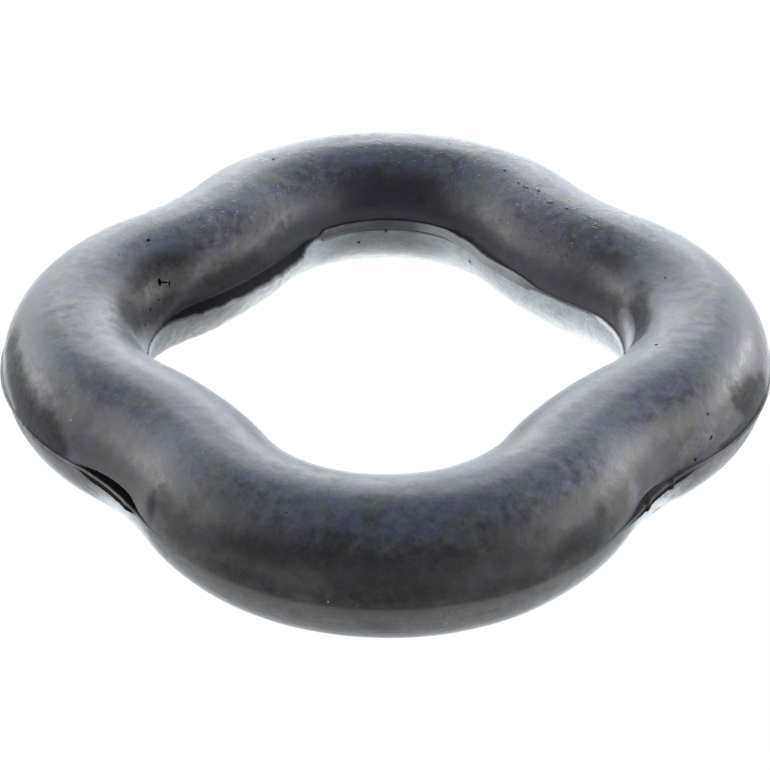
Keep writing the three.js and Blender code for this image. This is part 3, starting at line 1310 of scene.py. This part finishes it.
@dataclass
class HangerRing:
    """The moulded rubber ring, with its flash, pits and finish."""

    section_diameter: float = 14 * MM
    lobe_flash: float = 0.25 * MM
    sharp_angle: float = math.radians(42)
    half_height: float = field(init=False)
    line: MiddleLine = field(init=False)
    finish: RubberFinish = field(default_factory=RubberFinish)
    stretches: tuple[FlashStretch, ...] = (
        # Negative tones paint shade on the flash's faces and tops; pale rims are partly painted highlight
        FlashStretch(Side.OUTER, -143, -129, 0.40 * MM, 0.32 * MM, 0.60 * MM, 9, 6, 0.50, -2.2, -2.2),
        FlashStretch(Side.OUTER, -162, -152, 0.15 * MM, 0.14 * MM, 0.14 * MM, 6, 3, 0.9, 0.5, 0.6),
        FlashStretch(Side.OUTER, -118, -64, 0.004 * MM, 0.05 * MM, 0.05 * MM, 5, 5, 0.0, 0.0),
        FlashStretch(Side.OUTER, 172, 190, 0.30 * MM, 0.20 * MM, 0.20 * MM, 8, 6, 0.6, 0.5),
        FlashStretch(Side.OUTER, -54, -36, 0.42 * MM, 0.42 * MM, 0.46 * MM, 7, 11, -0.2, -1.0, -0.2),
        FlashStretch(Side.OUTER, -41.0, -40.4, 0.56 * MM, 0.40 * MM, 0.52 * MM, 1.6, 0.6, -0.6, -1.0, -0.5),
        FlashStretch(Side.OUTER, -52.4, -51.7, 0.58 * MM, 0.42 * MM, 0.54 * MM, 0.5, 1.8, -0.6, -1.0, -0.5),
        FlashStretch(Side.OUTER, -14, 12, 0.22 * MM, 0.25 * MM, 0.25 * MM, 8, 8, 0.4, -0.3),
        FlashStretch(Side.OUTER, 34, 50, 0.40 * MM, 0.30 * MM, 0.30 * MM, 8, 8),
        FlashStretch(Side.OUTER, 128, 146, 0.40 * MM, 0.30 * MM, 0.30 * MM, 8, 8),
        FlashStretch(Side.INNER, 47, 111, 0.32 * MM, 0.72 * MM, 0.34 * MM, 10, 2, 0.32, 0.12),
        FlashStretch(Side.INNER, 47, 76, 0.32 * MM, 0.72 * MM, 0.34 * MM, 10, 6, 1.05, 0.8),
        FlashStretch(Side.INNER, 52, 65, 0.62 * MM, 0.78 * MM, 0.30 * MM, 7, 5, 1.12, 0.85),
        FlashStretch(Side.INNER, 130, 148, 1.60 * MM, 0.16 * MM, 0.26 * MM, 18, 20, 0.5, 0.7, -0.25, 1.0),
        FlashStretch(Side.INNER, -14, 18, 0.30 * MM, 0.28 * MM, 0.24 * MM, 6, 8, 2.0, 1.5),
        FlashStretch(Side.INNER, -60, -34, 0.80 * MM, 0.25 * MM, 0.25 * MM, 10, 10),
        FlashStretch(Side.INNER, -146, -120, 0.80 * MM, 0.25 * MM, 0.25 * MM, 10, 10),
    )
    hollows: tuple[TornHollow, ...] = (
        TornHollow(-152, -131, -121, 0.62 * MM, 0.92 * MM),
        TornHollow(-57, -49, -41, 0.30 * MM, 0.85 * MM),
    )
    stains_and_painted_light: tuple[StainAndPaintedLight, ...] = (
        # Left lobe, outer side
        StainAndPaintedLight(-173, 32, 4.2 * MM, 2.6 * MM, -1.0),
        StainAndPaintedLight(-169, 27, 4.2 * MM, 3.0 * MM, -1.1),
        StainAndPaintedLight(-165, 22, 4.2 * MM, 3.4 * MM, -1.1),
        StainAndPaintedLight(-161, 17, 4.2 * MM, 3.6 * MM, -1.1),
        StainAndPaintedLight(-163, 11, 3.6 * MM, 2.6 * MM, -1.1),
        StainAndPaintedLight(-158.5, 8, 3.6 * MM, 2.6 * MM, -1.1),
        StainAndPaintedLight(-156, 14, 4.2 * MM, 4.0 * MM, -1.1),
        StainAndPaintedLight(-153.5, 8, 2.8 * MM, 2.8 * MM, -1.1),
        StainAndPaintedLight(-168, 4, 6.0 * MM, 1.0 * MM, 0.8),
        # Right lobe, outer side
        StainAndPaintedLight(-19.5, 30, 2.8 * MM, 2.6 * MM, -1.0),
        StainAndPaintedLight(-17.5, 20, 4.0 * MM, 3.4 * MM, -1.4),
        StainAndPaintedLight(-14, 12, 4.2 * MM, 3.0 * MM, -1.4),
        StainAndPaintedLight(-17.5, 6, 3.8 * MM, 2.4 * MM, -1.4),
        StainAndPaintedLight(-21, 3, 3.8 * MM, 1.6 * MM, -1.0),
        StainAndPaintedLight(-13, -50, 9.0 * MM, 5.0 * MM, -1.4),
        StainAndPaintedLight(-36, 28, 5.0 * MM, 2.4 * MM, -0.35),
        StainAndPaintedLight(-16, -30, 9.0 * MM, 4.5 * MM, -1.1),
        StainAndPaintedLight(-24, 3, 4.0 * MM, 0.9 * MM, -0.8),
        StainAndPaintedLight(-27, 21, 5.0 * MM, 2.6 * MM, 0.50),
        StainAndPaintedLight(-32, 17, 4.0 * MM, 2.0 * MM, 0.45),
        # Front lobe, outer side: the long dark bands along the parting line are painted shade
        StainAndPaintedLight(-108, 24, 9 * MM, 4.0 * MM, -0.45),
        StainAndPaintedLight(-90, 7, 26 * MM, 3.4 * MM, -0.60),
        StainAndPaintedLight(-107, 6, 10 * MM, 2.6 * MM, -0.60),
        StainAndPaintedLight(-68, 14, 7 * MM, 3.4 * MM, -0.65),
        StainAndPaintedLight(-63, 24, 1.8 * MM, 2.4 * MM, -0.60),
        StainAndPaintedLight(-120.8, 18, 1.6 * MM, 2.4 * MM, -0.70),
        StainAndPaintedLight(-91, -20, 4 * MM, 2.6 * MM, -0.40),
        # Rear lobe's inner side, and the front right waist
        StainAndPaintedLight(90, 150, 16 * MM, 4.5 * MM, -0.22),
        StainAndPaintedLight(-56, 20, 2.6 * MM, 3.2 * MM, 0.5),
        # Right lobe's inner side: a painted highlight as a pale wedge, then painted shade in the crease
        # above it
        StainAndPaintedLight(7, 160, 2.6 * MM, 1.2 * MM, 1.1),
        StainAndPaintedLight(4, 163, 3.4 * MM, 1.8 * MM, 1.6),
        StainAndPaintedLight(-2, 165, 4.2 * MM, 2.4 * MM, 2.0),
        StainAndPaintedLight(-8, 165, 4.2 * MM, 2.5 * MM, 2.2),
        StainAndPaintedLight(8, 136, 3.6 * MM, 2.6 * MM, -0.65),
        StainAndPaintedLight(3.5, 144, 4.0 * MM, 2.2 * MM, -1.2),
        StainAndPaintedLight(-2.5, 146, 4.4 * MM, 2.3 * MM, -1.3),
        StainAndPaintedLight(-9, 145, 4.4 * MM, 2.3 * MM, -1.3),
        # Broader patches all round, first the strong ones and last the faint ones: staining and dust, with
        # painted shade in the inner left corner and along the front parting line, and painted floor light
        # under the front waists
        StainAndPaintedLight(-165, -12, 6.0 * MM, 2.6 * MM, -0.9),
        StainAndPaintedLight(158, 143, 7.0 * MM, 4.2 * MM, -1.0),
        StainAndPaintedLight(165, 150, 7.0 * MM, 4.6 * MM, -1.25),
        StainAndPaintedLight(-114, 20, 7.0 * MM, 5.0 * MM, -0.42),
        StainAndPaintedLight(-66, 9, 8.0 * MM, 3.6 * MM, -0.60),
        StainAndPaintedLight(22, 132, 7.0 * MM, 2.6 * MM, -0.45),
        StainAndPaintedLight(179, 144, 6.0 * MM, 3.4 * MM, -1.0),
        StainAndPaintedLight(172, 154, 5.0 * MM, 2.8 * MM, -0.90),
        StainAndPaintedLight(128, 150, 8.0 * MM, 3.4 * MM, -0.50),
        StainAndPaintedLight(141, 163, 11 * MM, 3.0 * MM, -0.75),
        StainAndPaintedLight(60, 153, 9.0 * MM, 2.4 * MM, -0.30),
        StainAndPaintedLight(92, -161, 20 * MM, 5.0 * MM, -0.80),
        StainAndPaintedLight(154, -156, 13 * MM, 7.0 * MM, -1.2),
        StainAndPaintedLight(-104, 3, 12 * MM, 2.4 * MM, -0.55),
        StainAndPaintedLight(-76, 4, 12 * MM, 2.4 * MM, -0.60),
        StainAndPaintedLight(-119, 27, 3.8 * MM, 2.8 * MM, -0.45),
        StainAndPaintedLight(-131, -28, 8.5 * MM, 6.0 * MM, 1.0),
        StainAndPaintedLight(-47, -28, 9 * MM, 6.0 * MM, 0.7),
        StainAndPaintedLight(-44, -31, 5.0 * MM, 2.4 * MM, -0.75),
        StainAndPaintedLight(-72, -60, 9.0 * MM, 3.5 * MM, -0.50),
        StainAndPaintedLight(29, 129, 8.0 * MM, 4.5 * MM, 0.28),
        StainAndPaintedLight(17, 158, 6.0 * MM, 3.0 * MM, -0.45),
        StainAndPaintedLight(-165, 134, 6.0 * MM, 4.0 * MM, -0.55),
        StainAndPaintedLight(-74, 24, 9.0 * MM, 5.0 * MM, -0.32),
        StainAndPaintedLight(-113, 40, 7.0 * MM, 4.5 * MM, -0.32),
        StainAndPaintedLight(-156, 39, 5.0 * MM, 4.0 * MM, -0.40),
        StainAndPaintedLight(-102, 110, 12.0 * MM, 3.0 * MM, -0.26),
        StainAndPaintedLight(-5, 80, 8.0 * MM, 5.0 * MM, -0.24),
        StainAndPaintedLight(-170, 80, 8.0 * MM, 5.0 * MM, -0.24),
        StainAndPaintedLight(133, 148, 6.0 * MM, 3.0 * MM, -0.40),
        StainAndPaintedLight(125, 110, 5.0 * MM, 3.0 * MM, -0.26),
        StainAndPaintedLight(139, 128, 7.0 * MM, 3.6 * MM, 0.22),
        StainAndPaintedLight(106, 126, 8.0 * MM, 3.2 * MM, 0.22),
        StainAndPaintedLight(71, 124, 8.0 * MM, 3.2 * MM, 0.22),
        StainAndPaintedLight(-30, 57, 7.0 * MM, 4.0 * MM, 0.22),
        StainAndPaintedLight(-66, 59, 9.0 * MM, 4.0 * MM, 0.24),
        StainAndPaintedLight(-150, 62, 7.0 * MM, 4.0 * MM, 0.22),
    )
    pits: tuple[SurfaceMark, ...] = (
        SurfaceMark(154.6, 109.3, (0.50 * MM, 0.42 * MM, 0.7 * MM)),
        SurfaceMark(160.6, 145.4, (0.80 * MM, 0.46 * MM, 0.9 * MM), 0.97),
        SurfaceMark(157.3, 150.5, (0.62 * MM, 0.16 * MM, 0.4 * MM), 0.77),
        SurfaceMark(169.5, 157.6, (0.24 * MM, 0.36 * MM, 0.3 * MM)),
        SurfaceMark(176.1, 161.1, (0.20 * MM, 0.44 * MM, 0.3 * MM)),
        SurfaceMark(164.1, 156.5, (0.26 * MM, 0.22 * MM, 0.25 * MM)),
        SurfaceMark(89.9, -175.0, (0.20 * MM, 0.70 * MM, 0.4 * MM)),
        SurfaceMark(98.5, -162.8, (0.34 * MM, 0.34 * MM, 0.4 * MM)),
        SurfaceMark(60.6, -161.5, (0.30 * MM, 0.30 * MM, 0.4 * MM)),
        SurfaceMark(-21.6, 109.3, (0.34 * MM, 0.34 * MM, 0.4 * MM)),
        SurfaceMark(-31.0, 6.1, (0.34 * MM, 0.40 * MM, 0.4 * MM)),
        SurfaceMark(-27.6, 16.9, (0.60 * MM, 0.34 * MM, 0.35 * MM), 0.7),
        SurfaceMark(-27.2, 34.4, (0.40 * MM, 0.26 * MM, 0.2 * MM)),
    )
    cuts: tuple[SurfaceMark, ...] = (
        SurfaceMark(158.8, 147.4, (1.40 * MM, 0.22 * MM, 0.7 * MM), -0.45),
    )
    scabs: tuple[SurfaceMark, ...] = (
        SurfaceMark(62.3, 101.3, (0.60 * MM, 0.24 * MM, 0.20 * MM)),
        SurfaceMark(56.7, 105.0, (0.40 * MM, 0.24 * MM, 0.18 * MM)),
        SurfaceMark(54.2, 104.2, (0.90 * MM, 0.22 * MM, 0.20 * MM), 0.3),
        SurfaceMark(51.6, 99.6, (0.80 * MM, 0.26 * MM, 0.22 * MM)),
        SurfaceMark(46.4, 104.1, (0.90 * MM, 0.26 * MM, 0.24 * MM), 0.2),
        SurfaceMark(42.5, 101.2, (0.60 * MM, 0.24 * MM, 0.20 * MM)),
        SurfaceMark(163.6, 106.1, (0.50 * MM, 0.22 * MM, 0.18 * MM), 0.4),
        SurfaceMark(113.8, 91.2, (0.50 * MM, 0.20 * MM, 0.16 * MM)),
        SurfaceMark(7.6, 112.7, (0.30 * MM, 0.20 * MM, 0.20 * MM)),
    )

    def __post_init__(self) -> None:
        """Takes the ring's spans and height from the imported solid."""
        low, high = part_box(RING_NODE)
        self.half_height = high.z
        self.line = MiddleLine(
            span_across=high.x - low.x - 2 * self.lobe_flash,
            span_along=high.y - low.y - 2 * self.lobe_flash,
            section_diameter=self.section_diameter,
        )

    def build(self) -> bpy.types.Object:
        """Builds the ring as one closed mesh with its materials.

        Returns:
            The ring's object.
        """
        rubber = self.finish.material("moulded_rubber", self.section_diameter / 2)
        # The pits' walls are painted near black as shade
        pit_wall_shade = self.finish.pit_material("pit_wall_shade")
        ring = SweptRing(
            section_diameter=self.section_diameter, half_height=self.half_height, line=self.line,
            stretches=self.stretches, hollows=self.hollows,
        ).build("rubber_ring", rubber)
        # Lumps of one pass may not overlap, so the cut that crosses a pit has a pass of its own
        for kind, marks, lining in (
            (MarkKind.PIT, self.pits, pit_wall_shade), (MarkKind.PIT, self.cuts, pit_wall_shade),
            (MarkKind.SCAB, self.scabs, rubber),
        ):
            ring = self._combine(ring, MarkShapes(self.line).build("lumps", marks, lining), kind)
        self._paint_stains_and_light(ring.data)
        ring.data.shade_smooth()
        ring.data.set_sharp_from_angle(angle=self.sharp_angle)
        return ring

    @staticmethod
    def _combine(ring: bpy.types.Object, lumps: bpy.types.Object, kind: MarkKind) -> bpy.types.Object:
        """Cuts lumps out of the ring, or joins them to it.

        Args:
            ring: The ring.
            lumps: The lumps, which are used up.
            kind: What the lumps are.

        Returns:
            The new ring.
        """
        name = ring.name
        ring.name = name + "_before"
        modifier = ring.modifiers.new("Marks", "BOOLEAN")
        modifier.operation = kind.value
        modifier.solver = "MANIFOLD"
        modifier.object = lumps
        made = plain_mesh(ring, name)
        bpy.data.objects.remove(lumps)
        return made

    def _paint_stains_and_light(self, mesh: bpy.types.Mesh) -> None:
        """Stores how dark or pale the listed patches, staining and painted shade and light, make each point.
        The strongest of them counts.

        Args:
            mesh: The ring's mesh.
        """
        tones = [0.0] * len(mesh.vertices)
        for stain_and_painted_light in self.stains_and_painted_light:
            centre = self.line.surface_place(stain_and_painted_light.direction, stain_and_painted_light.round_angle)
            for vertex in mesh.vertices:
                away = vertex.co - centre.point
                if away.length_squared > stain_and_painted_light.length ** 2 + stain_and_painted_light.width ** 2:
                    continue
                part = away.dot(centre.along)
                across = math.sqrt(max(away.length_squared - part * part, 0.0))
                spread = math.hypot(part / stain_and_painted_light.length, across / stain_and_painted_light.width)
                tone = stain_and_painted_light.tone * rise(spread, 1.0, 0.0)
                if abs(tone) > abs(tones[vertex.index]):
                    tones[vertex.index] = tone
        mesh.attributes.new("stain_and_painted_light", "FLOAT", "POINT").data.foreach_set("value", tones)

    def dress(self, ring: bpy.types.Object) -> None:
        """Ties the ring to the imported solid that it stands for.

        Args:
            ring: The ring's object.
        """
        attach(ring, "root")
        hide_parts(RING_NODE)


@dataclass(frozen=True)
class SoftLamp:
    """A rectangular studio lamp that points at the ring."""

    name: str
    azimuth: float
    elevation: float
    distance: float
    width: float
    height: float
    watts: float

    def build(self) -> bpy.types.Object:
        """Sets up the lamp.

        Returns:
            The lamp's object.
        """
        data = bpy.data.lights.new(self.name, "AREA")
        data.shape = "RECTANGLE"
        data.size, data.size_y = self.width, self.height
        data.energy = self.watts
        away = outlook(self.azimuth, self.elevation)
        lamp = add_object(self.name, data)
        lamp.location = away * self.distance
        lamp.rotation_euler = away.to_track_quat("Z", "Y").to_euler()
        return lamp


@dataclass
class Studio:
    """A plain pale floor, soft lamps and a weak, pale surrounding."""

    floor_height: float
    floor_half_size: float = 3.0
    floor_colour: Colour = (0.90, 0.90, 0.91)
    floor_glow: float = 0.92
    table_share: float = 0.40
    table_strength: float = 2.2
    world_colour: Colour = (0.9, 0.93, 1.0)
    world_strength: float = 0.12
    lamps: tuple[SoftLamp, ...] = (
        SoftLamp("rear_lamp", 180, 21, 0.60, 0.50, 0.38, 2.85),
        SoftLamp("rear_left_lamp", -138, 19, 0.60, 0.40, 0.36, 1.25),
        SoftLamp("rear_right_lamp", 138, 19, 0.60, 0.40, 0.36, 1.00),
        SoftLamp("left_rim_lamp", -113, 10, 0.60, 0.30, 0.14, 0.85),
        SoftLamp("right_rim_lamp", 114, 12, 0.60, 0.30, 0.14, 1.80),
        SoftLamp("left_lamp", -93, 23, 0.60, 0.46, 0.40, 1.65),
        SoftLamp("right_lamp", 76, 20, 0.60, 0.46, 0.40, 2.00),
    )

    def build(self) -> None:
        """Sets up the floor, the lamps and the world."""
        self._floor()
        self._world()
        for lamp in self.lamps:
            lamp.build()

    def _floor(self) -> None:
        """Lays the floor, which shows white to the camera and keeps the ring's shadow."""
        half, level = self.floor_half_size, self.floor_height
        edge = [(-half, -half, level), (half, -half, level), (half, half, level), (-half, half, level)]
        mesh = bpy.data.meshes.new("floor")
        mesh.from_pydata(edge, [], [(0, 1, 2, 3)])
        floor = add_object("floor", mesh)
        material, maker = new_material("floor_paper")
        seen = self._seen_directly(maker)
        paper = maker.node("ShaderNodeBsdfDiffuse", None, {"Color": (*self.floor_colour, 1.0)})
        glow = maker.node("ShaderNodeEmission", None, {"Color": (1.0, 1.0, 1.0, 1.0), "Strength": 1.0})
        table = maker.node("ShaderNodeEmission", None, {
            "Color": (1.0, 1.0, 1.0, 1.0), "Strength": self.table_strength,
        })
        lit = maker.node("ShaderNodeMixShader", None, {
            0: self.table_share, 1: paper.outputs[0], 2: table.outputs[0],
        })
        mixed = maker.node("ShaderNodeMixShader", None, {
            0: seen * self.floor_glow, 1: lit.outputs[0], 2: glow.outputs[0],
        })
        maker.node("ShaderNodeOutputMaterial", None, {"Surface": mixed.outputs[0]})
        mesh.materials.append(material)

    def _world(self) -> None:
        """Sets the surrounding: a plain, weak, even light."""
        world = bpy.data.worlds.new("pale_surrounding")
        bpy.context.scene.world = world
        world.use_nodes = True
        world.node_tree.nodes.clear()
        maker = TreeMaker(world.node_tree)
        plain = maker.node("ShaderNodeBackground", None, {
            "Color": (*self.world_colour, 1.0), "Strength": self.world_strength,
        })
        maker.node("ShaderNodeOutputWorld", None, {"Surface": plain.outputs[0]})

    @staticmethod
    def _seen_directly(maker: TreeMaker) -> Value:
        """Marks the rays to which the floor shows white.

        Args:
            maker: The tree's maker.

        Returns:
            1 for rays from the camera, off a gloss and through glass, else 0.
        """
        path = maker.node("ShaderNodeLightPath")
        camera, glossy, through = (
            Value(maker.tree, path.outputs[name])
            for name in ("Is Camera Ray", "Is Glossy Ray", "Is Transmission Ray")
        )
        return camera.math("MAXIMUM", glossy).math("MAXIMUM", through)


@dataclass(frozen=True)
class PhotographCamera:
    """The camera at the photograph's place. Pixels are those of its square frame."""

    azimuth: float = -0.133
    elevation: float = 32.336
    distance: float = 205.8 * MM
    focal_length_mm: float = 97.46
    sensor_mm: float = 36.0
    frame_side: float = 770.0
    ring_centre_pixel: tuple[float, float] = (386.36, 351.24)

    def build(self) -> bpy.types.Object:
        """Sets up the camera and makes it the scene's own.

        Returns:
            The camera's object.
        """
        away = outlook(self.azimuth, self.elevation)
        ahead = -away
        right = ahead.cross(Vector((0, 0, 1))).normalized()
        up = right.cross(ahead)
        focal_pixels = self.focal_length_mm / self.sensor_mm * self.frame_side
        shift_right = (self.ring_centre_pixel[0] - self.frame_side / 2) / focal_pixels
        shift_down = (self.ring_centre_pixel[1] - self.frame_side / 2) / focal_pixels
        axis = (ahead - right * shift_right + up * shift_down).normalized()
        right = axis.cross(Vector((0, 0, 1))).normalized()
        up = right.cross(axis)
        data = bpy.data.cameras.new("photograph_camera")
        data.lens = self.focal_length_mm
        data.sensor_width = self.sensor_mm
        data.clip_start = 1 * MM
        camera = add_object("photograph_camera", data)
        turn = Matrix((right, up, -axis)).transposed().to_4x4()
        camera.matrix_world = Matrix.Translation(away * self.distance) @ turn
        bpy.context.scene.camera = camera
        return camera


def main() -> None:
    """Builds the ring, the studio and the camera."""
    logging.basicConfig(level=logging.INFO, format="%(name)s: %(message)s")
    bpy.context.scene.view_settings.view_transform = "Standard"
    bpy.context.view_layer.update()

    hanger = HangerRing()
    ring = hanger.build()
    hanger.dress(ring)
    LOG.info("%s: %d points, %d faces", ring.name, len(ring.data.vertices), len(ring.data.polygons))

    studio = Studio(floor_height=-hanger.half_height - FLOOR_GAP)
    studio.build()
    LOG.info("studio: floor at %.2f mm", studio.floor_height / MM)
    camera = PhotographCamera().build()
    LOG.info("camera: %.0f mm from the ring's centre", camera.location.length / MM)


if __name__ == "__main__":
    main()
